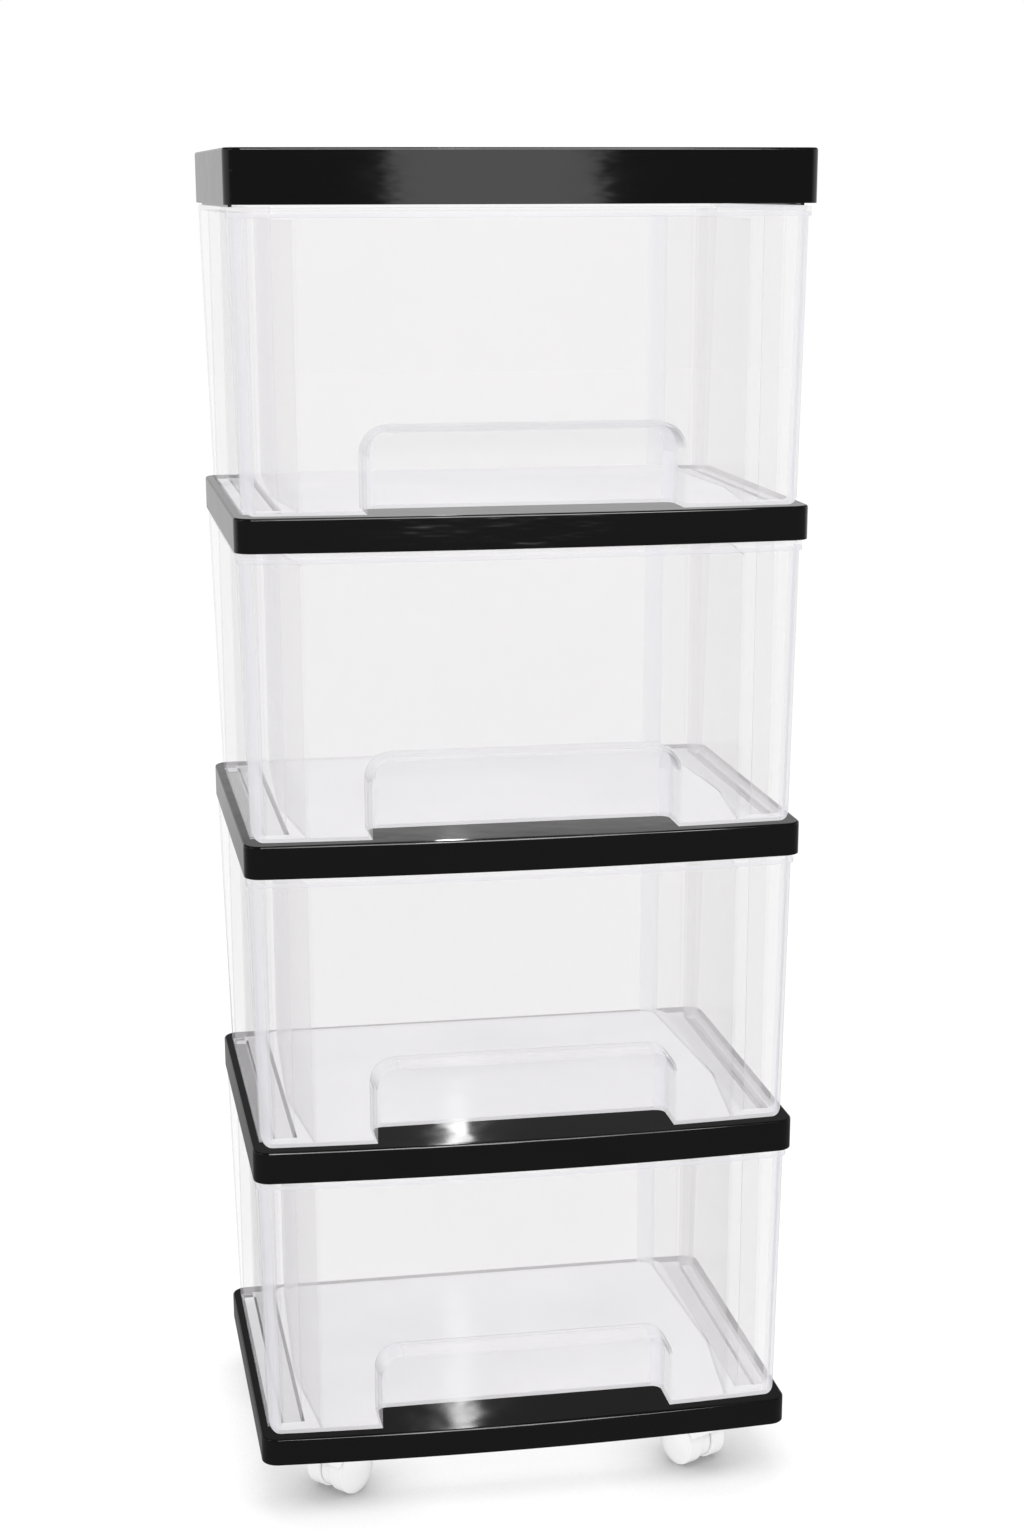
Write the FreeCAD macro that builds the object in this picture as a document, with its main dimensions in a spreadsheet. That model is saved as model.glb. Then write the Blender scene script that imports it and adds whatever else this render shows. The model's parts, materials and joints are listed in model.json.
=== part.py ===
import FreeCAD, Part

import math
import os

# Storage tower on castors: a base tray, three shelves and a top cover of black plastic, with a
# clear moulded housing and a clear drawer on each of the four levels.
# Millimetres. X to the right, the drawers open towards -Y, Z up. The origin is on the floor,
# under the middle of the bounding box.

levelNames = ("lowest", "lower", "upper", "top")
shelfNames = ("lower_shelf", "middle_shelf", "upper_shelf")

# Every driving dimension, by the piece that it belongs to
traySizes = {
    "tray_width": 390,
    "tray_depth": 290,
    "front_bow": 8,
    "tray_corner": 12,
    "tray_wall": 2.5,
    "tray_edge": 1.6,
    "level_pitch": 220,
    "shelf_height": 23,
    "base_height": 20,
    "cover_height": 35,
    "cover_rim": 9,
    "cover_dish": 2,
    "rim_width": 6,
    "channel_depth": 4,
    "channel_back_width": 7,
    "neck_inset": 4,
    "neck_wall": 2.5,
    "neck_drop": 1.5,
}
housingSizes = {
    "housing_wall": 2,
    "housing_top_inset": 2,
    "housing_fit": 0.5,
    "side_recess": 14,
    "post_depth": 14,
    "top_flange": 3.5,
    "foot_flange": 2,
    "foot_rise": 1,
    "frame_gap": 2,
}
drawerSizes = {
    "front_setback": 10,
    "drawer_wall": 2,
    "drawer_glide": 0.3,
    "drawer_head_gap": 2,
    "drawer_back_gap": 2.5,
    "front_top_inset": 3.5,
    "front_bottom_inset": 6.5,
    "front_return": 12,
    "front_round": 7,
    "front_foot_round": 8,
    "front_gap": 2,
    "lip_height": 6,
    "lip_stand": 1.5,
    "box_side_gap": 15,
    "box_front_taper": 12,
    "box_rear_taper": 8,
    "box_rear_corner": 12,
    "box_drop": 8,
    "handle_width": 214,
    "handle_height": 55,
    "handle_corner": 16,
    "handle_depth": 28,
    "handle_ledge": 19,
    "handle_bend": 35,
    "handle_back_round": 7,
}
castorSizes = {
    "castor_height": 40,
    "castor_side_inset": 67,
    "castor_end_inset": 52,
    "wheel_radius": 18,
    "wheel_width": 18,
    "wheel_crown": 6,
    "wheel_edge": 1.5,
    "wheel_gap": 0.5,
    "castor_trail": 10,
    "castor_plate": 8,
    "fork_top_radius": 10,
    "hood_clearance": 1.2,
    "hood_wall": 2,
    "axle_radius": 2,
    "axle_edge": 0.5,
    "stem_radius": 3,
    "stem_seat": 9,
    "stem_head": 5,
    "stem_groove": 0.8,
    "running_fit": 0.05,
    "thrust_gap": 0.3,
    "socket_wall": 4,
}
sharedSizes = {
    "overrun": 10,
}
# The widest place of a drawer's box, as a share of the way from its front to its back
boxMiddleShare = 0.36
# How far each castor is turned about its stem, in degrees, as it stands at rest
castorTurns = {"front_left": 42, "front_right": 117, "rear_left": 35, "rear_right": 145}
# An edge counts as running along an axis when it leans from it by less than this, in degrees
edgeLean = 12
alongY = FreeCAD.Vector(0, 1, 0)
alongZ = FreeCAD.Vector(0, 0, 1)

os.makedirs("parts", exist_ok=True)
doc = FreeCAD.newDocument("storage_tower")
sheet = doc.addObject("Spreadsheet::Sheet", "Sheet")


def fillSheet(groups):
    row = 0
    for group in groups:
        for alias, value in group.items():
            row = row + 1
            sheet.set("A%d" % row, alias)
            sheet.set("B%d" % row, str(value))
            sheet.setAlias("B%d" % row, alias)


fillSheet((traySizes, housingSizes, drawerSizes, castorSizes, sharedSizes))
doc.recompute()


def cell(alias):
    return "Sheet." + alias


def size(alias):
    return float(sheet.get(alias))


def total(*terms):
    return "(" + " + ".join(terms) + ")"


def less(first, *rest):
    return "(" + " - ".join((first,) + rest) + ")"


def half(formula):
    return "(%s / 2)" % formula


def minus(formula):
    return "(-%s)" % formula


# A span on the side that the sign picks
def sided(sign, low, high):
    return (low, high) if sign > 0 else (minus(high), minus(low))


def place(item, x="0", y="0", z="0"):
    for axis, formula in (("x", x), ("y", y), ("z", z)):
        item.setExpression("Placement.Base." + axis, formula)
    return item


# A box between two corners, each given as a low and a high formula on its axis
def block(name, x, y, z):
    box = doc.addObject("Part::Box", name)
    for prop, span in (("Length", x), ("Width", y), ("Height", z)):
        box.setExpression(prop, less(span[1], span[0]))
    return place(box, x[0], y[0], z[0])


# A block that is centred on X and changes width and back face from its bottom to its top
def draftedBlock(name, bottomHalf, topHalf, front, bottomBack, topBack, z):
    wedge = doc.addObject("Part::Wedge", name)
    spans = {
        "Xmin": minus(bottomHalf), "Xmax": bottomHalf, "X2min": minus(topHalf), "X2max": topHalf,
        "Ymin": z[0], "Ymax": z[1],
        "Zmin": minus(bottomBack), "Zmax": minus(front), "Z2min": minus(topBack), "Z2max": minus(front),
    }
    for prop, formula in spans.items():
        wedge.setExpression(prop, formula)
    wedge.Placement.Rotation = FreeCAD.Rotation(FreeCAD.Vector(1, 0, 0), 90)
    return wedge


# A block that is centred on X and changes width from its front to its back
def flaredBlock(name, frontHalf, backHalf, y, z):
    wedge = doc.addObject("Part::Wedge", name)
    spans = {
        "Xmin": minus(frontHalf), "Xmax": frontHalf, "X2min": minus(backHalf), "X2max": backHalf,
        "Ymin": y[0], "Ymax": y[1], "Zmin": z[0], "Zmax": z[1], "Z2min": z[0], "Z2max": z[1],
    }
    for prop, formula in spans.items():
        wedge.setExpression(prop, formula)
    return wedge


def upright(name, radius, z, x="0", y="0"):
    rod = doc.addObject("Part::Cylinder", name)
    rod.setExpression("Radius", radius)
    rod.setExpression("Height", less(z[1], z[0]))
    return place(rod, x, y, z[0])


# A round bar along Y
def crossBar(name, radius, y, x, z):
    rod = doc.addObject("Part::Cylinder", name)
    rod.setExpression("Radius", radius)
    rod.setExpression("Height", less(y[1], y[0]))
    rod.Placement.Rotation = FreeCAD.Rotation(FreeCAD.Vector(1, 0, 0), -90)
    return place(rod, x, y[0], z)


def cut(name, base, tool):
    item = doc.addObject("Part::Cut", name)
    item.Base = base
    item.Tool = tool
    return item


def common(name, base, tool):
    item = doc.addObject("Part::Common", name)
    item.Base = base
    item.Tool = tool
    return item


def fuse(name, *pieces):
    item = doc.addObject("Part::MultiFuse", name)
    item.Shapes = list(pieces)
    item.Refine = True
    return item


# Rounds the edges that the test picks, all with one radius
def rounded(name, base, radius, picks):
    doc.recompute()
    chosen = [number for number, edge in enumerate(base.Shape.Edges, start=1) if picks(edge)]
    if not chosen:
        raise ValueError("no edge to round on " + name)
    item = doc.addObject("Part::Fillet", name)
    item.Base = base
    item.Edges = [(number, radius, radius) for number in chosen]
    return item


def runsAlong(edge, axis):
    ends = [edge.valueAt(edge.FirstParameter), edge.valueAt(edge.LastParameter)]
    way = ends[1] - ends[0]
    return way.Length > 0 and abs(way.normalize().dot(axis)) > math.cos(math.radians(edgeLean))


def isUpright(edge):
    return len(edge.Vertexes) == 2 and runsAlong(edge, alongZ)


# Formulas that several pieces share
halfWidth = half(cell("tray_width"))
halfDepth = half(cell("tray_depth"))
bowRadius = "(%s^2 / (8 * %s) + %s / 2)" % (cell("tray_width"), cell("front_bow"), cell("front_bow"))
bowCentre = less(bowRadius, halfDepth)
cornerPlane = total(minus(halfDepth), cell("front_bow"))
rimInside = less(halfWidth, cell("rim_width"))
housingBottomHalf = less(rimInside, cell("housing_fit"))
housingBottomBack = less(halfDepth, cell("rim_width"), cell("housing_fit"))
housingTopHalf = less(halfWidth, cell("housing_top_inset"))
housingTopBack = less(halfDepth, cell("housing_top_inset"))
housingTop = less(cell("level_pitch"), cell("shelf_height"), cell("neck_drop"))
recessedWall = less(housingTopHalf, cell("side_recess"))
boxMiddleHalf = less(recessedWall, cell("housing_wall"), cell("box_side_gap"))
boxFrontHalf = less(boxMiddleHalf, cell("box_front_taper"))
boxRearHalf = less(boxMiddleHalf, cell("box_rear_taper"))
frameInside = total(boxMiddleHalf, cell("frame_gap"))
channelInside = less(frameInside, cell("housing_fit"))
frontPlane = total(cornerPlane, cell("front_setback"))
returnBack = total(frontPlane, cell("front_return"))
housingFront = total(returnBack, cell("front_gap"))
baseTop = total(cell("castor_height"), cell("base_height"))


# The outline that all trays share: square at the back, bowed in front, with round corners.
# The inset draws the whole outline in.
def bowedBlock(name, inset, z):
    insetFormula = cell(inset) if inset else "0"
    box = block(name + "_box",
                (total(minus(halfWidth), insetFormula), less(halfWidth, insetFormula)),
                (total(minus(halfDepth), insetFormula), less(halfDepth, insetFormula)), z)
    drum = upright(name + "_bow", less(bowRadius, insetFormula), z, y=bowCentre)
    bowed = common(name + "_bowed", box, drum)
    corner = size("tray_corner") - (size(inset) if inset else 0)
    return rounded(name, bowed, corner, isUpright)


def isTopRim(edge):
    return min(edge.BoundBox.ZMin, edge.BoundBox.ZMax) > -size("tray_edge")


# A tray is a skirt with a plate on top. The neck under it stands on the housing below.
# The plate's top is at z = 0.
def traySkin(name, height):
    bottom = minus(height)
    body = bowedBlock(name + "_body", None, (bottom, "0"))
    softened = rounded(name + "_softened", body, size("tray_edge"), isTopRim)
    plateUnder = minus(total(cell("channel_depth"), cell("tray_wall")))
    hollow = bowedBlock(name + "_hollow", "tray_wall", (less(bottom, cell("overrun")), plateUnder))
    return cut(name + "_shell", softened, hollow)


def trayNeck(name, height, top):
    bottom = less(minus(height), cell("neck_drop"))
    outside = bowedBlock(name + "_neck_outside", "neck_inset", (bottom, top))
    thickness = total(cell("neck_inset"), cell("neck_wall"))
    inside = block(name + "_neck_inside",
                   (total(minus(halfWidth), thickness), less(halfWidth, thickness)),
                   (minus(cell("tray_depth")), less(halfDepth, thickness)),
                   (less(bottom, cell("overrun")), total(top, cell("overrun"))))
    ring = cut(name + "_neck_ring", outside, inside)
    frontOff = block(name + "_neck_front", (minus(cell("tray_width")), cell("tray_width")),
                     (minus(cell("tray_depth")), housingFront),
                     (less(bottom, cell("overrun")), total(top, cell("overrun"))))
    return cut(name + "_neck", ring, frontOff)


# The channel that the housing's foot stands in, on both sides and along the back
def footChannel(name):
    back = less(halfDepth, cell("rim_width"))
    z = (minus(cell("channel_depth")), cell("overrun"))
    outside = block(name + "_channel_outside", (minus(rimInside), rimInside),
                    (less(housingFront, cell("housing_fit")), back), z)
    inside = block(name + "_channel_inside", (minus(channelInside), channelInside),
                   (minus(cell("tray_depth")), less(back, cell("channel_back_width"))), z)
    return cut(name + "_channel", outside, inside)


# The plate that the drawer runs on is as thin as the walls, also between the channels
def plateRelief(name, height):
    reach = less(channelInside, cell("tray_wall"))
    back = less(halfDepth, cell("rim_width"), cell("channel_back_width"), cell("tray_wall"))
    return block(name + "_relief", (minus(reach), reach),
                 (total(cornerPlane, cell("tray_wall")), back),
                 (less(minus(height), cell("overrun")), minus(cell("tray_wall"))))


def makeShelf(name, level):
    height = cell("shelf_height")
    shell = traySkin(name, height)
    neck = trayNeck(name, height, minus(total(cell("channel_depth"), half(cell("tray_wall")))))
    whole = fuse(name + "_whole", shell, neck)
    opened = cut(name + "_opened", whole, plateRelief(name, height))
    shelf = cut(name, opened, footChannel(name))
    shelf.Label = name
    return place(shelf, z=total(baseTop, "%d * %s" % (level, cell("level_pitch"))))


# The cover has a shallow dish on top instead of the channels
def makeCover(name):
    height = cell("cover_height")
    shell = traySkin(name, height)
    neck = trayNeck(name, height, minus(total(cell("channel_depth"), half(cell("tray_wall")))))
    whole = fuse(name + "_whole", shell, neck)
    reach = less(halfWidth, cell("neck_inset"), cell("neck_wall"), cell("cover_rim"))
    back = less(halfDepth, cell("cover_rim"), cell("tray_wall"))
    thin = block(name + "_relief", (minus(reach), reach), (total(cornerPlane, cell("cover_rim")), back),
                 (minus(height), minus(total(cell("cover_dish"), cell("tray_wall")))))
    opened = cut(name + "_opened", whole, thin)
    dish = bowedBlock(name + "_dish", "cover_rim", (minus(cell("cover_dish")), cell("overrun")))
    cover = cut(name, opened, dish)
    cover.Label = name
    levels = str(len(levelNames))
    rise = total("%s * %s" % (levels, cell("level_pitch")), less(height, cell("shelf_height")))
    return place(cover, z=total(baseTop, rise))


castorPlaces = {}
for side, sideSign in (("left", -1), ("right", 1)):
    for end, endSign in (("front", -1), ("rear", 1)):
        acrossFormula = "%d * %s" % (sideSign, less(halfWidth, cell("castor_side_inset")))
        alongFormula = "%d * %s" % (endSign, less(halfDepth, cell("castor_end_inset")))
        castorPlaces[end + "_" + side] = (acrossFormula, alongFormula)


# The base tray has four blind sockets for the stems of the castors
def makeBase(name):
    height = cell("base_height")
    opened = cut(name + "_opened", traySkin(name, height), plateRelief(name, height))
    bore = total(cell("stem_radius"), cell("running_fit"))
    boreTop = minus(total(cell("channel_depth"), cell("tray_wall")))
    sockets = []
    bores = []
    for castor, (x, y) in castorPlaces.items():
        sockets.append(upright(name + "_socket_" + castor, total(bore, cell("socket_wall")),
                               (minus(height), minus(half(cell("tray_wall")))), x, y))
        bores.append(upright(name + "_bore_" + castor, bore,
                             (less(minus(height), cell("overrun")), boreTop), x, y))
    whole = fuse(name + "_whole", opened, *sockets)
    bored = cut(name + "_bored", whole, fuse(name + "_bores", *bores))
    base = cut(name, bored, footChannel(name))
    base.Label = name
    return place(base, z=baseTop)


# The housing is one clear moulding: two sides set in behind posts and flanges, and a back.
# Its foot stands in the channel of the tray below, spread to both sides, and the tray above rests
# on its top flange.
def makeHousing(name, level):
    bottom = minus(cell("channel_depth"))
    top = housingTop
    z = (bottom, top)
    wall = cell("housing_wall")
    over = cell("overrun")
    outer = draftedBlock(name + "_outer", housingBottomHalf, housingTopHalf, housingFront,
                         housingBottomBack, housingTopBack, z)
    inner = draftedBlock(name + "_inner", less(recessedWall, wall), less(recessedWall, wall),
                         less(housingFront, over), less(housingBottomBack, wall), less(housingTopBack, wall),
                         (less(bottom, over), total(top, over)))
    shell = cut(name + "_shell", outer, inner)
    footTop = cell("foot_rise")
    flangeUnder = less(top, cell("top_flange"))
    postFront = less(housingBottomBack, cell("post_depth"))
    cuts = []
    for side, sign in (("left", -1), ("right", 1)):
        cuts.append(block(name + "_recess_" + side, sided(sign, recessedWall, cell("tray_width")),
                          (total(housingFront, wall), postFront), (footTop, flangeUnder)))
        cuts.append(block(name + "_foot_groove_" + side,
                          sided(sign, recessedWall, less(housingBottomHalf, wall)),
                          (total(housingFront, wall), postFront),
                          (less(bottom, over), less(footTop, cell("foot_flange")))))
        cuts.append(block(name + "_post_hollow_" + side,
                          sided(sign, less(recessedWall, wall, wall), less(housingBottomHalf, wall)),
                          (total(postFront, wall), less(housingBottomBack, wall)),
                          (less(bottom, over), less(top, cell("top_flange")))))
    hollowed = cut(name + "_hollowed", shell, fuse(name + "_hollows", *cuts))
    inward = []
    for side, sign in (("left", -1), ("right", 1)):
        inward.append(block(name + "_frame_" + side, sided(sign, frameInside, recessedWall),
                            (housingFront, total(housingFront, wall)), z))
        inward.append(block(name + "_foot_" + side, sided(sign, frameInside, recessedWall),
                            (housingFront, less(housingBottomBack, wall)),
                            (bottom, total(bottom, cell("foot_flange")))))
    housing = fuse(name, hollowed, *inward)
    housing.Label = name
    return place(housing, z=total(baseTop, "%d * %s" % (level, cell("level_pitch"))))


def nearest(shape):
    return min(vertex.Y for vertex in shape.Vertexes)


def furthest(shape):
    return max(vertex.Y for vertex in shape.Vertexes)


# The front of a drawer is a bowed pan that is open at the back and narrows towards its bottom.
# A grown pan stands proud of the plain one by the lip, and an inset one is its hollow.
def frontPan(name, grow, z, footRound, back, bottomInset="front_bottom_inset"):
    reachTop = total(less(halfWidth, cell("front_top_inset")), grow)
    reachBottom = total(less(halfWidth, cell(bottomInset)), grow)
    slab = draftedBlock(name + "_slab", reachBottom, reachTop, minus(cell("tray_depth")), back, back, z)
    drum = upright(name + "_drum", total(less(bowRadius, cell("front_setback")), grow), z, y=bowCentre)
    bowed = common(name + "_bowed", slab, drum)
    doc.recompute()
    frontEdge = nearest(bowed.Shape) + size("front_round")
    isFront = lambda edge: isUpright(edge) and furthest(edge) < frontEdge
    eased = rounded(name + "_eased", bowed, size("front_round"), isFront)
    if not footRound:
        return eased
    foot = draftedBlock(name + "_foot_slab", reachBottom, reachTop, minus(cell("tray_depth")),
                        cell("tray_depth"), cell("tray_depth"), z)
    doc.recompute()
    low = min(vertex.Z for vertex in foot.Shape.Vertexes) + footRound
    isFoot = lambda edge: runsAlong(edge, alongY) and max(v.Z for v in edge.Vertexes) < low
    footed = rounded(name + "_footed", foot, footRound, isFoot)
    return common(name, eased, footed)


boxBack = less(housingBottomBack, cell("housing_wall"), cell("drawer_back_gap"))


# The walls of a drawer's box narrow at the front, stand widest a third of the way back, and narrow
# again. Its floor keeps the full width, and runs on the tray.
def drawerTub(name, inset, z, backRound):
    back = less(boxBack, inset)
    front = minus(halfDepth)
    middle = total(frontPlane, "%s * %s" % (boxMiddleShare, less(back, frontPlane)))
    halves = [less(reach, inset) for reach in (boxFrontHalf, boxMiddleHalf, boxRearHalf)]
    fore = flaredBlock(name + "_fore", halves[0], halves[1], (front, middle), z)
    aft = flaredBlock(name + "_aft", halves[1], halves[2], (middle, back), z)
    tub = fuse(name + "_tub", fore, aft)
    doc.recompute()
    rear = furthest(tub.Shape) - size("drawer_wall")
    isRear = lambda edge: isUpright(edge) and nearest(edge) > rear
    return rounded(name, tub, backRound, isRear)


# The space for the fingers: its back leans forward above a bend, and it is open at the bottom
def handleSpace(name, grow, growSize):
    reach = total(half(cell("handle_width")), grow)
    front = minus(cell("tray_depth"))
    deep = total(frontPlane, cell("handle_depth"), grow)
    ledge = total(frontPlane, cell("handle_ledge"), grow)
    bend = cell("handle_bend")
    top = total(cell("handle_height"), grow)
    low = block(name + "_low", (minus(reach), reach), (front, deep), (minus(cell("overrun")), bend))
    high = draftedBlock(name + "_high", reach, reach, front, deep, ledge, (bend, top))
    space = fuse(name + "_space", low, high)
    doc.recompute()
    ceiling = max(vertex.Z for vertex in space.Shape.Vertexes) - size("drawer_wall")
    isArch = lambda edge: runsAlong(edge, alongY) and min(v.Z for v in edge.Vertexes) > ceiling
    arched = rounded(name + "_arched", space, size("handle_corner") + growSize, isArch)
    rear = furthest(space.Shape)
    isBackCorner = lambda edge: (edge.BoundBox.XLength < size("drawer_wall")
                                 and edge.BoundBox.YMin > rear - size("handle_depth"))
    return rounded(name + "_cornered", arched, size("handle_back_round") + growSize, isBackCorner)


def makeDrawer(name, level):
    wall = cell("drawer_wall")
    over = cell("overrun")
    bottom = cell("drawer_glide")
    top = less(cell("level_pitch"), cell("shelf_height"), cell("drawer_head_gap"))
    footRound = size("front_foot_round")
    wallSize = size("drawer_wall")
    panOut = frontPan(name + "_pan_out", "0", (bottom, top), footRound, returnBack)
    panIn = frontPan(name + "_pan_in", minus(wall), (total(bottom, wall), less(top, wall)),
                     footRound - wallSize, total(returnBack, over))
    pan = cut(name + "_pan", panOut, panIn)
    lipZ = (less(top, cell("lip_height")), top)
    lipOut = frontPan(name + "_lip_out", cell("lip_stand"), lipZ, 0, returnBack, "front_top_inset")
    lipIn = frontPan(name + "_lip_in", minus(wall), (less(top, cell("lip_height"), over), less(top, wall)),
                     0, total(returnBack, over), "front_top_inset")
    lip = cut(name + "_lip", lipOut, lipIn)
    boxTop = less(top, cell("box_drop"))
    tubOut = drawerTub(name + "_tub_out", "0", (bottom, boxTop), size("box_rear_corner"))
    tubIn = drawerTub(name + "_tub_in", wall, (total(bottom, wall), total(boxTop, over)),
                      size("box_rear_corner") - wallSize)
    tub = cut(name + "_box", tubOut, tubIn)
    runner = block(name + "_runner_slab", (minus(boxMiddleHalf), boxMiddleHalf), (minus(halfDepth), boxBack),
                   (bottom, total(bottom, wall)))
    isRearCorner = lambda edge: isUpright(edge) and nearest(edge) > 0
    floor = rounded(name + "_floor", runner, size("box_rear_corner"), isRearCorner)
    grip = handleSpace(name + "_grip", wall, wallSize)
    gripBelow = block(name + "_grip_limit", (minus(halfWidth), halfWidth),
                      (minus(cell("tray_depth")), halfDepth), (bottom, boxTop))
    gripShell = common(name + "_grip_shell", grip, gripBelow)
    drum = upright(name + "_trim", less(bowRadius, cell("front_setback")), (bottom, top), y=bowCentre)
    inside = common(name + "_inside", fuse(name + "_insides", tub, floor, gripShell), drum)
    whole = fuse(name + "_whole", pan, lip, inside)
    drawer = cut(name, whole, handleSpace(name + "_fingers", "0", 0))
    drawer.Label = name
    return place(drawer, z=total(baseTop, "%d * %s" % (level, cell("level_pitch"))))


# One castor in its own frame: the stem is on Z, the floor at z = 0, and the wheels trail along -X
def turnAndPlace(item, castor):
    item.Placement = FreeCAD.Placement(FreeCAD.Vector(0, 0, 0),
                                       FreeCAD.Rotation(FreeCAD.Vector(0, 0, 1), castorTurns[castor]))
    x, y = castorPlaces[castor]
    return place(item, x, y)


axleX = minus(cell("castor_trail"))
axleZ = cell("wheel_radius")
plateHalf = half(cell("castor_plate"))
wheelInside = total(plateHalf, cell("wheel_gap"))
wheelOutside = total(wheelInside, cell("wheel_width"))
turretTop = less(cell("castor_height"), cell("thrust_gap"))
hoodInside = total(cell("wheel_radius"), cell("hood_clearance"))


# The fork is one moulding: a web between the wheels, a hood over their treads, and a turret
def makeFork(castor):
    name = "castor_" + castor + "_fork"
    away = cell("castor_height")
    shoulder = total(axleZ, half(cell("wheel_radius")))
    hoodReach = less(wheelOutside, cell("wheel_crown"))
    disc = crossBar(name + "_disc", less(cell("wheel_radius"), cell("hood_wall")),
                    (minus(plateHalf), plateHalf), axleX, axleZ)
    hoodOut = crossBar(name + "_hood_out", total(hoodInside, cell("hood_wall")),
                       (minus(hoodReach), hoodReach), axleX, axleZ)
    hoodIn = crossBar(name + "_hood_in", hoodInside, (minus(away), away), axleX, axleZ)
    hoodRing = cut(name + "_hood_ring", hoodOut, hoodIn)
    upper = block(name + "_hood_limit", (minus(away), away), (minus(away), away), (shoulder, turretTop))
    hood = common(name + "_hood", hoodRing, upper)
    web = block(name + "_web", (less(axleX, half(cell("wheel_radius"))), cell("fork_top_radius")),
                (minus(plateHalf), plateHalf), (axleZ, total(axleZ, hoodInside, half(cell("hood_wall")))))
    turret = upright(name + "_turret", cell("fork_top_radius"), (shoulder, turretTop))
    rooms = [crossBar(name + "_room_" + side, hoodInside, sided(sign, plateHalf, away), axleX, axleZ)
             for side, sign in (("inner", 1), ("outer", -1))]
    solid = fuse(name + "_solid", disc, hood, web, turret)
    roomy = cut(name + "_roomy", solid, fuse(name + "_rooms", *rooms))
    axleBore = crossBar(name + "_axle_bore", total(cell("axle_radius"), cell("running_fit")),
                        (minus(away), away), axleX, axleZ)
    stemBore = upright(name + "_stem_bore", cell("stem_radius"),
                       (less(turretTop, cell("stem_seat")), total(turretTop, cell("overrun"))))
    fork = cut(name, roomy, fuse(name + "_bores", axleBore, stemBore))
    fork.Label = name
    return turnAndPlace(fork, castor)


# The stem is pressed in the fork and turns in the socket; the groove takes the socket's snap ring
def makeStem(castor):
    name = "castor_" + castor + "_stem"
    socketDepth = less(cell("base_height"), cell("channel_depth"), cell("tray_wall"))
    top = total(cell("castor_height"), less(socketDepth, cell("thrust_gap")))
    grooveTop = less(top, cell("stem_head"))
    rod = upright(name + "_rod", cell("stem_radius"), (less(turretTop, cell("stem_seat")), top))
    ringOut = upright(name + "_ring_out", total(cell("stem_radius"), cell("overrun")),
                      (less(grooveTop, cell("stem_groove")), grooveTop))
    ringIn = upright(name + "_ring_in", less(cell("stem_radius"), cell("stem_groove")),
                     (less(grooveTop, cell("overrun")), top))
    stem = cut(name, rod, cut(name + "_ring", ringOut, ringIn))
    stem.Label = name
    return turnAndPlace(stem, castor)


def makeAxle(castor):
    name = "castor_" + castor + "_axle"
    reach = total(wheelInside, half(cell("wheel_width")))
    rod = crossBar(name + "_rod", cell("axle_radius"), (minus(reach), reach), axleX, axleZ)
    axle = rounded(name, rod, size("axle_edge"), lambda edge: len(edge.Vertexes) == 1)
    axle.Label = name
    return turnAndPlace(axle, castor)


# A wheel is a disc with a crowned outer face, and it is pressed on the axle
def makeWheel(castor, side, sign):
    name = "castor_" + castor + "_wheel_" + side
    disc = crossBar(name + "_disc", cell("wheel_radius"), sided(sign, wheelInside, wheelOutside),
                    axleX, axleZ)
    crownRadius = "((%s^2 + %s^2) / (2 * %s))" % (
        cell("wheel_radius"), cell("wheel_crown"), cell("wheel_crown"))
    ball = doc.addObject("Part::Sphere", name + "_ball")
    ball.setExpression("Radius", crownRadius)
    ballY = less(wheelOutside, crownRadius)
    place(ball, axleX, ballY if sign > 0 else minus(ballY), axleZ)
    crowned = common(name + "_crowned", disc, ball)
    isRim = lambda edge: len(edge.Vertexes) == 1 and edge.Length > math.pi * size("wheel_radius")
    eased = rounded(name + "_eased", crowned, size("wheel_edge"), isRim)
    boreEnd = total(wheelInside, half(cell("wheel_width")))
    bore = crossBar(name + "_bore", cell("axle_radius"), sided(sign, "0", boreEnd), axleX, axleZ)
    wheel = cut(name, eased, bore)
    wheel.Label = name
    return turnAndPlace(wheel, castor)


parts = [makeBase("base_tray")]
for level, shelfName in enumerate(shelfNames, start=1):
    parts.append(makeShelf(shelfName, level))
parts.append(makeCover("top_cover"))
for level, levelName in enumerate(levelNames):
    parts.append(makeHousing(levelName + "_housing", level))
    parts.append(makeDrawer(levelName + "_drawer", level))
for castor in castorTurns:
    parts.append(makeFork(castor))
    parts.append(makeStem(castor))
    parts.append(makeAxle(castor))
    parts.append(makeWheel(castor, "inner", 1))
    parts.append(makeWheel(castor, "outer", -1))

doc.recompute()

for item in doc.Objects:
    if "Invalid" in item.State or "Error" in item.State:
        raise RuntimeError("%s failed: %s" % (item.Name, item.State))
for part in parts:
    shape = part.Shape
    if shape.isNull() or not shape.isValid():
        raise RuntimeError("%s has no valid shape" % part.Label)
    if len(shape.Solids) != 1:
        raise RuntimeError("%s is %d solids" % (part.Label, len(shape.Solids)))

for part in parts:
    part.Shape.exportStep("parts/%s.step" % part.Label)
    box = part.Shape.BoundBox
    print("%-32s %9.1f mm3  x %.1f to %.1f  y %.1f to %.1f  z %.1f to %.1f" % (
        part.Label, part.Shape.Volume, box.XMin, box.XMax, box.YMin, box.YMax, box.ZMin, box.ZMax))
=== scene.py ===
import json
import math

import bmesh
import bpy
import numpy as np
from mathutils import Euler, Matrix, Vector


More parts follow.
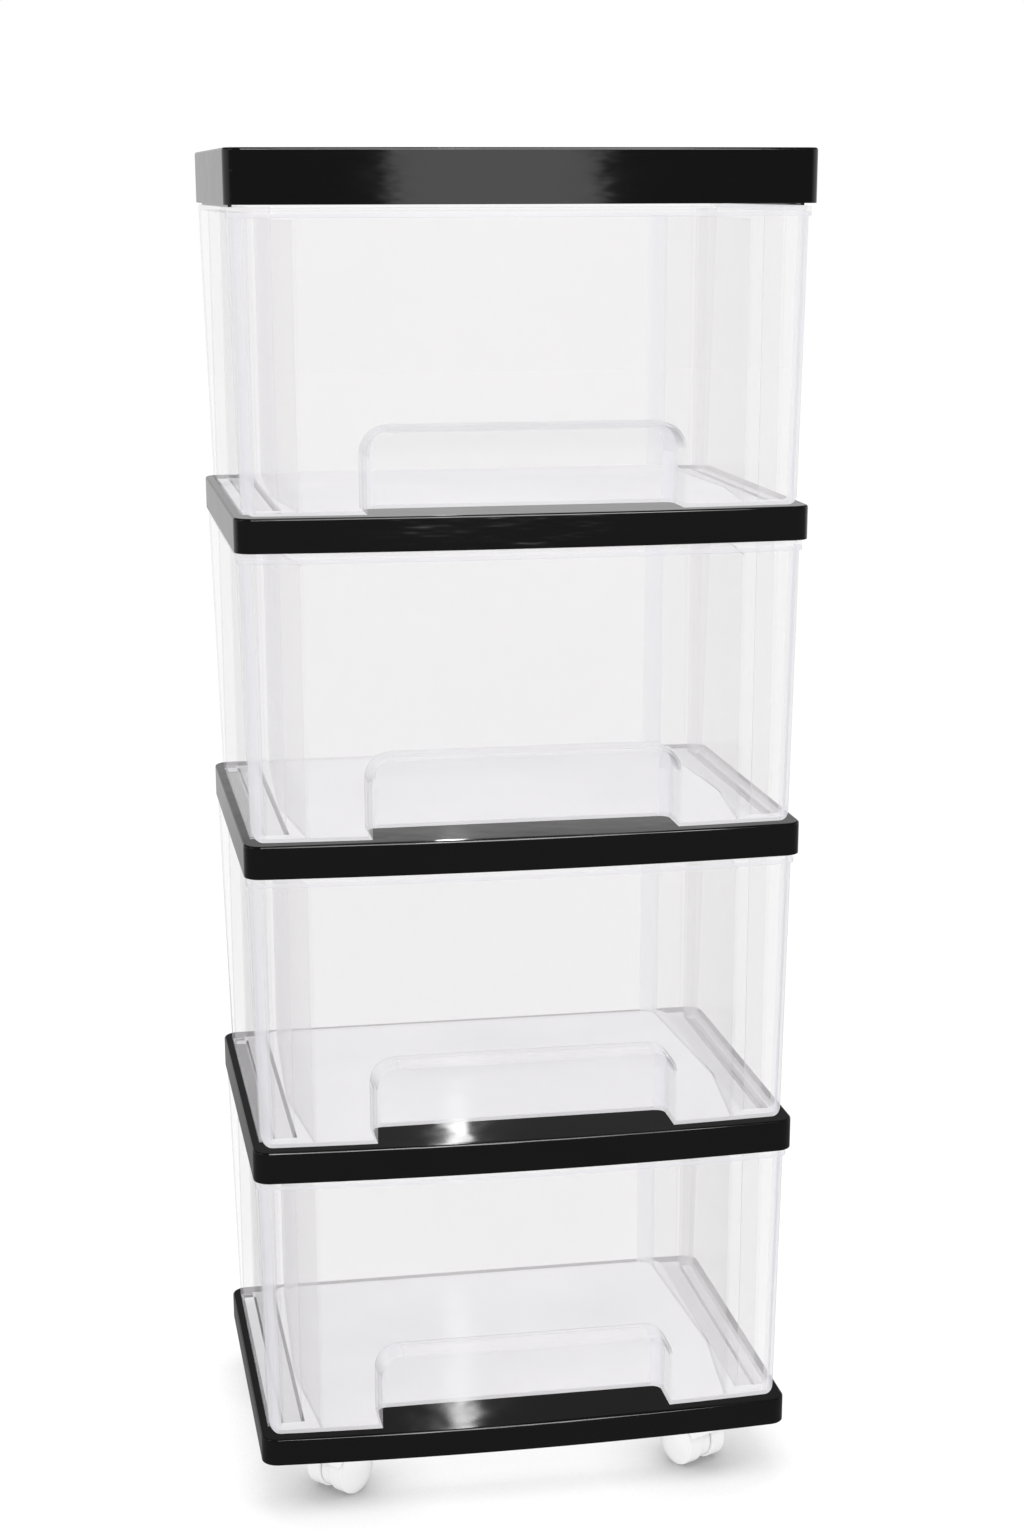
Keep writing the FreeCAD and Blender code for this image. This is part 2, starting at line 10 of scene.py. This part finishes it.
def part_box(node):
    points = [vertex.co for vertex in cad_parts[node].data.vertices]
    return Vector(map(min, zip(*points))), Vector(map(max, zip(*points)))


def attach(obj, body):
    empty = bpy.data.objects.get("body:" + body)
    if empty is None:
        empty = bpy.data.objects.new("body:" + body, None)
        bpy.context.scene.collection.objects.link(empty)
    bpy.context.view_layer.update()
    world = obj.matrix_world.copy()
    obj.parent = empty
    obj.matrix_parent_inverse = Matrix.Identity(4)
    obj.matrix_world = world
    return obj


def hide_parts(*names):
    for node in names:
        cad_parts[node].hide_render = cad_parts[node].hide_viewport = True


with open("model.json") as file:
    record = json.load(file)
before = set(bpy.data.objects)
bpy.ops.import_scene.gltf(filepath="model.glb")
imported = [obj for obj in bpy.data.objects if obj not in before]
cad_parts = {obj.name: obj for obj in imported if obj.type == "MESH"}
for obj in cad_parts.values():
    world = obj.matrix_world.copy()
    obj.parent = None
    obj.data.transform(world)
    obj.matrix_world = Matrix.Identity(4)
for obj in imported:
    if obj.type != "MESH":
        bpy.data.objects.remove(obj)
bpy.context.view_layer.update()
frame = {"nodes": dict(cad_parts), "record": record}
print("frame loaded with", len(frame["nodes"]), "nodes")


# Shader maths on sockets, written as Python expressions
class Wire:
    def __init__(self, shader, socket):
        self.shader = shader
        self.socket = socket

    def math(self, operation, value, swapped=False):
        pair = (value, self) if swapped else (self, value)
        return self.shader.node("ShaderNodeMath", {"operation": operation}, dict(enumerate(pair)))

    # Another output of the node that this wire comes from
    def beside(self, output):
        return Wire(self.shader, self.socket.node.outputs[output])

    def __add__(self, value):
        return self.math("ADD", value)

    def __sub__(self, value):
        return self.math("SUBTRACT", value)

    def __rsub__(self, value):
        return self.math("SUBTRACT", value, swapped=True)

    def __mul__(self, value):
        return self.math("MULTIPLY", value)

    def __pow__(self, value):
        return self.math("POWER", value)

    __radd__ = __add__
    __rmul__ = __mul__


# The nodes of one material, or of the world
class Shader:
    def __init__(self, owner):
        owner.use_nodes = True
        self.owner = owner
        self.tree = owner.node_tree
        self.tree.nodes.clear()

    # One node: its settings are set first, then the values or wires of its sockets
    def node(self, kind, settings=None, sockets=None, out=0):
        item = self.tree.nodes.new(kind)
        for key, value in (settings or {}).items():
            setattr(item, key, value)
        for key, value in (sockets or {}).items():
            if isinstance(value, Wire):
                self.tree.links.new(value.socket, item.inputs[key])
            else:
                item.inputs[key].default_value = value
        return Wire(self, item.outputs[out]) if item.outputs else None

    # The point on the piece, with each axis stretched
    def place(self, scale=(1.0, 1.0, 1.0)):
        point = self.node("ShaderNodeTexCoord", out="Object")
        return self.node("ShaderNodeMapping", {}, {"Vector": point, "Scale": scale})

    # A cloudy pattern from 0 to 1, its scale per metre
    def noise(self, where, scale, detail=3.0):
        return self.node("ShaderNodeTexNoise", {}, {"Vector": where, "Scale": scale, "Detail": detail},
                         out="Fac")

    # Turns 0 to 1 into low to high
    def between(self, wire, low, high):
        return self.node("ShaderNodeMapRange", {"clamp": True},
                         {"Value": wire, "To Min": low, "To Max": high})

    # Eases from low to high while the wire goes from start to stop
    def smooth(self, wire, start, stop, low, high):
        return self.node("ShaderNodeMapRange", {"interpolation_type": "SMOOTHSTEP"}, {
            "Value": wire, "From Min": start, "From Max": stop, "To Min": low, "To Max": high})

    def blend(self, factor, first, second):
        return self.node("ShaderNodeMix", {"data_type": "RGBA"}, {0: factor, 6: first, 7: second}, out=2)

    def bump(self, height, strength, distance):
        return self.node("ShaderNodeBump", {},
                         {"Height": height, "Strength": strength, "Distance": distance})

    def finish(self, surface, output="ShaderNodeOutputMaterial"):
        self.node(output, {}, {"Surface": surface})
        return self.owner


def newShader(name):
    return Shader(bpy.data.materials.new(name))


def grey(level):
    return (level, level, level, 1.0)


white = grey(1.0)

# In all the looks, scales of patterns are per metre and depths of bumps in metres
blackPlasticLook = {
    "colour": 0.002,
    "dustColour": 0.005,
    "dustScale": 9.0,
    "roughLow": 0.05,
    "roughHigh": 0.11,
    "roughScale": 40.0,
    "waveScale": 11.0,      # the slow sink marks of the moulding
    "waveStretch": 5.0,     # how much flatter than long they are
    "waveStrength": 0.25,
    "waveDepth": 0.0020,
    "ior": 1.5,
}


def makeBlackPlastic():
    look = blackPlasticLook
    shader = newShader("blackPlastic")
    where = shader.place()
    dust = shader.noise(where, look["dustScale"])
    wave = shader.noise(shader.place((1.0, 1.0, look["waveStretch"])), look["waveScale"])
    rough = shader.between(shader.noise(where, look["roughScale"]), look["roughLow"], look["roughHigh"])
    body = shader.node("ShaderNodeBsdfPrincipled", {}, {
        "Base Color": shader.blend(dust, grey(look["colour"]), grey(look["dustColour"])),
        "Roughness": rough, "IOR": look["ior"],
        "Normal": shader.bump(wave, look["waveStrength"], look["waveDepth"])})
    return shader.finish(body)


# What the clear finishes share
clearPlasticLook = {
    "hazeScale": 7.0,
    "hazeLow": 0.85,        # the haze makes a face hide this much less
    "hazeHigh": 1.15,       # or this much more
    "flowScale": 14.0,      # the ripples that the melt left
    "flowStretch": (3.0, 3.0, 0.6),
    "flowDetail": 2.0,
    "flowStrength": 0.25,
    "flowDepth": 0.0006,
    "facingBlend": 0.5,
    "facingPower": 4.0,     # the higher, the later a turning face hides more
    "ior": 1.49,
}

# Cover is how much one face hides: seen square on, and seen along its surface
clearFinishes = {
    "clearWall": {"colour": (0.89, 0.87, 0.885, 1.0), "hazeColour": (0.94, 0.92, 0.935, 1.0),
                  "cover": 0.17, "edgeCover": 0.32, "roughness": 0.15, "gloss": 0.08},
    # The rim finish is darker and bluer than the wall: painted shade on narrow faces and on the lower
    # band of a drawer's lip
    "clearRimPaintedShade": {"colour": (0.80, 0.80, 0.85, 1.0), "hazeColour": (0.85, 0.85, 0.89, 1.0),
                 "cover": 0.48, "edgeCover": 0.75, "roughness": 0.12, "gloss": 0.5},
    # The line finish is much darker: painted dark lines of shade along the rounded edges
    "clearLinePaintedShade": {"colour": (0.50, 0.50, 0.57, 1.0), "hazeColour": (0.58, 0.58, 0.64, 1.0),
                  "cover": 0.62, "edgeCover": 0.80, "roughness": 0.10, "gloss": 0.6},
    "clearFloor": {"colour": (0.85, 0.84, 0.87, 1.0), "hazeColour": (0.91, 0.90, 0.92, 1.0),
                   "cover": 0.62, "edgeCover": 0.80, "roughness": 0.45, "gloss": 0.25},
}


def makeClearPlastic(name):
    look = clearPlasticLook
    finish = clearFinishes[name]
    shader = newShader(name)
    haze = shader.noise(shader.place(), look["hazeScale"])
    flow = shader.noise(shader.place(look["flowStretch"]), look["flowScale"], look["flowDetail"])
    facing = shader.node("ShaderNodeLayerWeight", {}, {"Blend": look["facingBlend"]}, out="Facing")
    cover = finish["cover"] + (finish["edgeCover"] - finish["cover"]) * facing ** look["facingPower"]
    cover = cover * shader.between(haze, look["hazeLow"], look["hazeHigh"])
    body = shader.node("ShaderNodeBsdfPrincipled", {}, {
        "Base Color": shader.blend(haze, finish["colour"], finish["hazeColour"]),
        "Roughness": finish["roughness"], "IOR": look["ior"], "Specular IOR Level": finish["gloss"],
        "Normal": shader.bump(flow, look["flowStrength"], look["flowDepth"])})
    window = shader.node("ShaderNodeBsdfTransparent", {}, {"Color": white})
    return shader.finish(shader.node("ShaderNodeMixShader", {}, {0: cover, 1: window, 2: body}))


# The castors' forks and wheels
whitePlasticLook = {
    "colour": 0.90,
    "paleColour": 0.94,
    "paleScale": 60.0,
    "roughLow": 0.25,
    "roughHigh": 0.40,
    "roughScale": 200.0,
    "grainScale": 1500.0,
    "grainStrength": 0.1,
    "grainDepth": 0.0001,
    "ior": 1.5,
}


def makeWhitePlastic():
    look = whitePlasticLook
    shader = newShader("whitePlastic")
    where = shader.place()
    pale = shader.noise(where, look["paleScale"])
    rough = shader.between(shader.noise(where, look["roughScale"]), look["roughLow"], look["roughHigh"])
    grain = shader.noise(where, look["grainScale"])
    body = shader.node("ShaderNodeBsdfPrincipled", {}, {
        "Base Color": shader.blend(pale, grey(look["colour"]), grey(look["paleColour"])),
        "Roughness": rough, "IOR": look["ior"],
        "Normal": shader.bump(grain, look["grainStrength"], look["grainDepth"])})
    return shader.finish(body)


# The castors' stems and axles
steelLook = {
    "colour": 0.55,
    "roughLow": 0.25,
    "roughHigh": 0.45,
    "brushScale": 400.0,
    "brushStretch": 6.0,
}


def makeSteel():
    look = steelLook
    shader = newShader("steel")
    brush = shader.noise(shader.place((1.0, 1.0, look["brushStretch"])), look["brushScale"])
    body = shader.node("ShaderNodeBsdfPrincipled", {}, {
        "Base Color": grey(look["colour"]), "Metallic": 1.0,
        "Roughness": shader.between(brush, look["roughLow"], look["roughHigh"])})
    return shader.finish(body)


clearPlastics = {name: makeClearPlastic(name) for name in clearFinishes}
slotMaterials = {"black_plastic": makeBlackPlastic(), "clear_plastic": clearPlastics["clearWall"],
                 "white_plastic": makeWhitePlastic(), "steel": makeSteel()}
slotOf = {entry["node"]: entry["material_slot"] for entry in frame["record"]["subparts"]}
bodyOf = {node: body for body, nodes in frame["record"]["behaviour"]["bodies"].items() for node in nodes}
for name, item in frame["nodes"].items():
    item.data.materials.clear()
    item.data.materials.append(slotMaterials[slotOf[name]])
print("materials made and given to the nodes")


def newObject(name, data):
    item = bpy.data.objects.new(name, data)
    bpy.context.scene.collection.objects.link(item)
    return item


# Lengths in metres, angles in degrees
moulding = {
    "weld": 2e-6,           # corners closer than this are one
    "flat": 0.6,            # faces that lean less than this are one
    "edge": 30.0,           # edges sharper than this are softened
    "soft": {"black_plastic": 0.0006, "clear_plastic": 0.0006, "white_plastic": 0.0004, "steel": 0.0002},
    "softSteps": 2,
    "narrow": 0.0045,       # a clear face narrower than this takes the rim finish's painted edge shade
    "level": 0.7,           # the upright part of its normal from which a face is level
    "milkyFoot": 0.003,     # how far above a clear piece's foot its level faces are milky
    "lipClear": 0.0032,     # how far below its top a drawer's lip is as clear as its walls
}


# The node's shape with its corners welded and its flat faces joined. A drawer gets a level cut under the
# clear part of its lip, so that the narrow band below it can take the painted edge shade.
def weldedMesh(node):
    mesh = bpy.data.meshes.new(node + "_moulding")
    work = bmesh.new()
    work.from_mesh(frame["nodes"][node].data)
    bmesh.ops.remove_doubles(work, verts=work.verts, dist=moulding["weld"])
    bmesh.ops.dissolve_limit(work, angle_limit=math.radians(moulding["flat"]),
                             verts=work.verts, edges=work.edges)
    if node.endswith("_drawer"):
        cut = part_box(node)[1][2] - moulding["lipClear"]
        bmesh.ops.bisect_plane(work, geom=work.verts[:] + work.edges[:] + work.faces[:],
                               plane_co=(0, 0, cut), plane_no=(0, 0, 1))
    work.to_mesh(mesh)
    work.free()
    mesh.polygons.foreach_set("use_smooth", np.ones(len(mesh.polygons), dtype=bool))
    return mesh


# A piece in the shape of its node, with every sharp edge rounded off
def makePiece(node):
    slot = slotOf[node]
    piece = newObject(node + "_moulding", weldedMesh(node))
    piece.data.materials.append(slotMaterials[slot])
    bevel = piece.modifiers.new("softEdges", "BEVEL")
    bevel.width = moulding["soft"][slot]
    bevel.segments = moulding["softSteps"]
    bevel.limit_method = "ANGLE"
    bevel.angle_limit = math.radians(moulding["edge"])
    even = piece.modifiers.new("evenNormals", "WEIGHTED_NORMAL")    # so that flat faces mirror flatly
    even.keep_sharp = True
    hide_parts(node)
    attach(piece, bodyOf[node])
    return piece


# A measure of each face: one number, or a row of as many as it has parts
def perFace(mesh, measure, parts=1):
    values = np.empty(len(mesh.polygons) * parts)
    mesh.polygons.foreach_get(measure, values)
    return values.reshape(-1, parts) if parts > 1 else values


# How wide a face is across its narrow way: twice its area over its outline's length
def faceWidths(mesh):
    corners = np.empty(len(mesh.vertices) * 3)
    mesh.vertices.foreach_get("co", corners)
    ends = np.empty(len(mesh.edges) * 2, dtype=np.int32)
    mesh.edges.foreach_get("vertices", ends)
    spans = np.diff(corners.reshape(-1, 3)[ends.reshape(-1, 2)], axis=1)[:, 0]
    around = np.empty(len(mesh.loops), dtype=np.int32)
    mesh.loops.foreach_get("edge_index", around)
    starts = perFace(mesh, "loop_start").astype(np.int32)
    outline = np.add.reduceat(np.linalg.norm(spans, axis=1)[around], starts)
    return 2 * perFace(mesh, "area") / outline


# A clear piece's narrow faces and rounded edges get darker, bluer finishes that hide more: painted edge
# shade. Level faces at its foot look milky, and the upper part of a drawer's lip stays as clear as its
# walls.
def gradeClear(piece, node):
    mesh = piece.data
    mesh.materials.clear()
    for plastic in clearPlastics.values():
        mesh.materials.append(plastic)
    wall, paintedShadeRim, paintedShadeLine, milky = range(len(clearPlastics))      # as clearFinishes lists them
    lowest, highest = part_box(node)
    height = perFace(mesh, "center", 3)[:, 2]
    level = np.abs(perFace(mesh, "normal", 3)[:, 2]) > moulding["level"]
    # narrow faces get the rim finish, whose darker colour is painted edge shade
    finish = np.where(faceWidths(mesh) < moulding["narrow"], paintedShadeRim, wall).astype(np.int32)
    finish[level & (height < lowest[2] + moulding["milkyFoot"])] = milky
    if node.endswith("_drawer"):
        finish[height > highest[2] - moulding["lipClear"]] = wall
    mesh.polygons.foreach_set("material_index", finish)
    # the bevels' rounded faces get the line finish, painted dark edge shade
    piece.modifiers["softEdges"].material = paintedShadeLine


for node in frame["nodes"]:
    piece = makePiece(node)
    if slotOf[node] == "clear_plastic":
        gradeClear(piece, node)
        piece.visible_glossy = False                # so that the black trays mirror the studio alone
    if not node.startswith("castor"):
        piece.visible_diffuse = False               # so that the soft light reaches every piece
        piece.visible_shadow = node == "base_tray"  # with the castors, it shades the floor
print("pieces softened:", len(frame["nodes"]))


# The floor is white paper. Glossy plastic sees it dark in front and pale behind the tower.
stage = {
    "floorHalf": 12.0,      # metres
    "floorColour": 0.40,
    "floorGlow": 0.62,      # what the camera sees beside the paper's own light
    "shadowReach": 0.06,    # metres, how near a thing has to be to darken that glow
    "shadowDepth": 2.0,
    "shadowSamples": 8,
    "bounce": 0.60,         # what matt surfaces get from the floor
    "mirrorFront": 0.18,
    "mirrorBack": 0.60,
    "mirrorReach": 3.0,     # metres behind the tower to the palest place
}


def makeFloorPaper():
    shader = newShader("floorPaper")
    camera = shader.node("ShaderNodeLightPath", out="Is Camera Ray")
    paper = shader.node("ShaderNodeBsdfDiffuse", {}, {"Color": grey(stage["floorColour"])})
    nearby = shader.node("ShaderNodeAmbientOcclusion", {"samples": stage["shadowSamples"]},
                         {"Distance": stage["shadowReach"]}, out="AO")
    strength = camera * stage["floorGlow"] * nearby ** stage["shadowDepth"]
    strength = strength + camera.beside("Is Diffuse Ray") * stage["bounce"]
    glow = shader.node("ShaderNodeEmission", {}, {"Color": white, "Strength": strength})
    seen = shader.node("ShaderNodeAddShader", {}, {0: paper, 1: glow})
    backwards = shader.node("ShaderNodeSeparateXYZ", {}, {0: shader.place()}, out="Y")
    pale = shader.smooth(backwards, 0.0, stage["mirrorReach"], stage["mirrorFront"], stage["mirrorBack"])
    mirrored = shader.node("ShaderNodeEmission", {}, {"Color": white, "Strength": pale})
    glossy = camera.beside("Is Glossy Ray")
    return shader.finish(shader.node("ShaderNodeMixShader", {}, {0: glossy, 1: seen, 2: mirrored}))


def makeFloor():
    reach = stage["floorHalf"]
    corners = [(-reach, -reach, 0), (reach, -reach, 0), (reach, reach, 0), (-reach, reach, 0)]
    mesh = bpy.data.meshes.new("floor")
    mesh.from_pydata(corners, [], [(0, 1, 2, 3)])
    mesh.materials.append(makeFloorPaper())
    newObject("floor", mesh)


makeFloor()

# The studio: a pale low backdrop behind the tower, a dim room elsewhere. Its places are the parts
# of a direction, from -1 to 1.
studio = {
    "light": 1.0,           # what falls on matt surfaces
    "room": 0.12,           # what glossy surfaces see of the room
    "horizon": 0.60,        # and of the backdrop, at the floor
    "backdrop": 0.68,       # and higher up
    "brightest": 0.19,      # upwards, where it is palest
    "gone": 0.30,           # and where it ends
    "starts": -0.35,        # backwards, where it starts
    "whole": 0.15,          # and where it is whole
}


# The camera and what is seen through a clear piece get plain white, glossy surfaces the room and the
# backdrop, and matt surfaces an even light
def makeWorld():
    world = bpy.data.worlds.new("studio")
    bpy.context.scene.world = world
    shader = Shader(world)
    direction = shader.node("ShaderNodeTexCoord", out="Generated")
    backwards = shader.node("ShaderNodeSeparateXYZ", {}, {0: direction}, out="Y")
    height = backwards.beside("Z")
    behind = shader.smooth(backwards, studio["starts"], studio["whole"], 0.0, 1.0)
    rise = shader.smooth(height, 0.0, studio["brightest"], studio["horizon"], studio["backdrop"])
    fall = shader.smooth(height, studio["brightest"], studio["gone"], 1.0, 0.0)
    room = studio["room"] + behind * fall * (rise - studio["room"])
    camera = shader.node("ShaderNodeLightPath", out="Is Camera Ray")
    seen = camera.math("MAXIMUM", camera.beside("Is Transmission Ray"))
    glossy = camera.beside("Is Glossy Ray")
    strength = seen + (1 - seen) * (glossy * room + (1 - glossy) * studio["light"])
    light = shader.node("ShaderNodeBackground", {}, {"Color": white, "Strength": strength})
    shader.finish(light, "ShaderNodeOutputWorld")


makeWorld()

# Where each lamp stands, what it points at, how wide and tall it is, in metres, and its power in watts.
# Matt surfaces don't see the lamps that only draw highlights.
lamps = {
    "leftSoftbox": {"at": (-2.4, -0.8, 1.8), "to": (0, 0, 0.5), "size": (1.2, 1.6),
                    "power": 4.0, "lightsMatt": True},
    "topSoftbox": {"at": (0.25, -1.1, 2.6), "to": (0, 0, 0.4), "size": (1.0, 1.0),
                   "power": 10.0, "lightsMatt": True},
    "frontHighlight": {"at": (0.353, -2.6, 0.95), "to": (0, -0.145, 0.94), "size": (0.60, 0.9),
                       "power": 3.0, "lightsMatt": False},
    "edgeHighlight": {"at": (0.3, -2.0, 2.0), "to": (0, -0.14, 0.5), "size": (1.4, 0.9),
                      "power": 50.0, "lightsMatt": False},
    "backStrip": {"at": (0.44, 3.0, 1.50), "to": (-0.04, -0.12, 0.5), "size": (0.04, 0.30),
                  "power": 0.3, "lightsMatt": False},
}


def makeLamp(name, lamp):
    light = bpy.data.lights.new(name, "AREA")
    light.shape = "RECTANGLE"
    light.size, light.size_y = lamp["size"]
    light.energy = lamp["power"]
    item = newObject(name, light)
    item.location = lamp["at"]
    aim = Vector(lamp["to"]) - Vector(lamp["at"])
    item.rotation_euler = aim.to_track_quat("-Z", "Y").to_euler()
    item.visible_diffuse = lamp["lightsMatt"]


for name, lamp in lamps.items():
    makeLamp(name, lamp)

# The camera, from the tray corners in the photograph: metres and radians
view = {
    "place": (-0.3249, -1.8768, 0.9287),
    "turn": 0.1781,         # to the right
    "tilt": 0.2810,         # down
    "roll": -0.0022,
    "focus": 2650.0,        # in pixels of the photograph
    "centreDown": 182.0,    # how far the lens axis lies below the middle of the photograph
    "pixelsTall": 1536.0,
    "sensor": 36.0,         # millimetres
    "clearLayers": 48,      # how many clear faces the camera can see through
}


def makeCamera():
    data = bpy.data.cameras.new("camera")
    data.sensor_width = view["sensor"]
    data.lens = view["focus"] / view["pixelsTall"] * view["sensor"]
    data.shift_y = view["centreDown"] / view["pixelsTall"]
    camera = newObject("camera", data)
    turned = Euler((math.pi / 2 - view["tilt"], 0, -view["turn"])).to_matrix()
    rolled = turned @ Matrix.Rotation(view["roll"], 3, "Z")
    camera.matrix_world = Matrix.Translation(view["place"]) @ rolled.to_4x4()
    bpy.context.scene.camera = camera


makeCamera()
bpy.context.scene.view_settings.view_transform = "Standard"
bpy.context.scene.cycles.transparent_max_bounces = view["clearLayers"]
print("stage, lamps and camera set")
